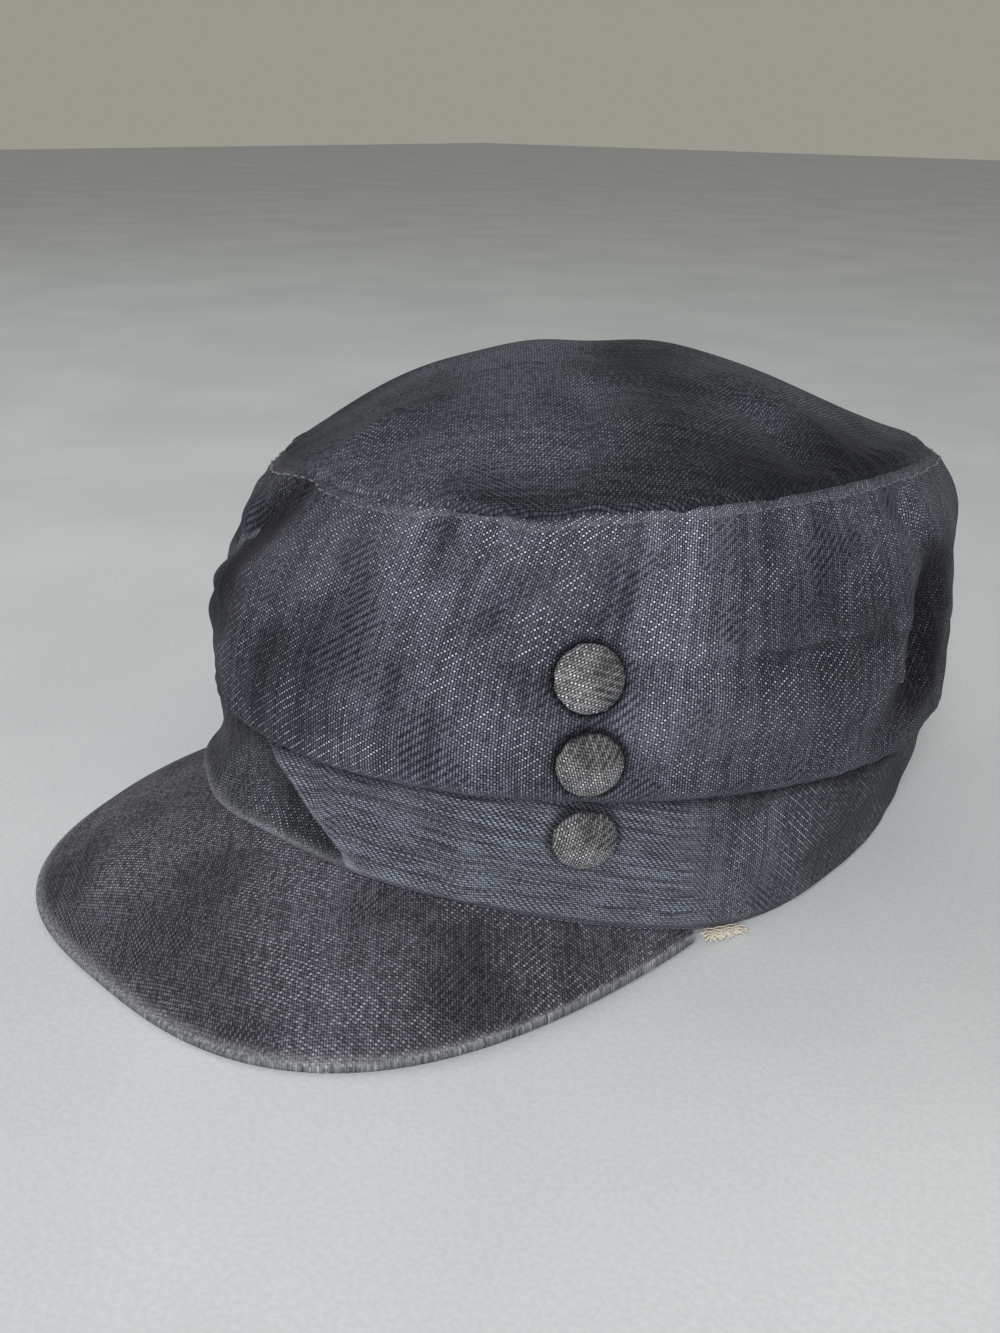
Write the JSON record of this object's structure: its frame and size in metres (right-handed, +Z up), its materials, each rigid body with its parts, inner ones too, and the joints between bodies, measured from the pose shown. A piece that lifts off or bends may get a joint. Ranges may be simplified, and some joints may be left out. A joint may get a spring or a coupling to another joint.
{
  "type": "military cap",
  "caption": "Soft military cap with an oval top, a plain band, a short sloping peak and a row of cloth-covered buttons on one side, lying on its rim.",
  "frame": {"origin": "on the table under the middle of the cap's bounding box", "axes": "+Z up from the table, the peak points along -Y, and +X is the wearer's left, the side with the buttons"},
  "size_m": [0.1768, 0.2396, 0.1123],
  "materials": {
    "crown_cloth": "worn dark navy and white twill",
    "top_cloth": "worn dark navy and white twill, a little darker",
    "band_cloth": "faded navy and white twill, cut across the grain",
    "peak_cloth": "worn twill over a stiff board, whitish at the edge",
    "button_cloth": "twill stretched over a domed button",
    "lining_cloth": "frayed cream cotton"
  },
  "bodies": {
    "root": {"band": "band_cloth", "crown_side": "crown_cloth", "crown_top": "top_cloth", "peak": "peak_cloth", "lining_edge": "lining_cloth", "button_upper": "button_cloth", "button_middle": "button_cloth", "button_lower": "button_cloth"}
  },
  "joints": []
}
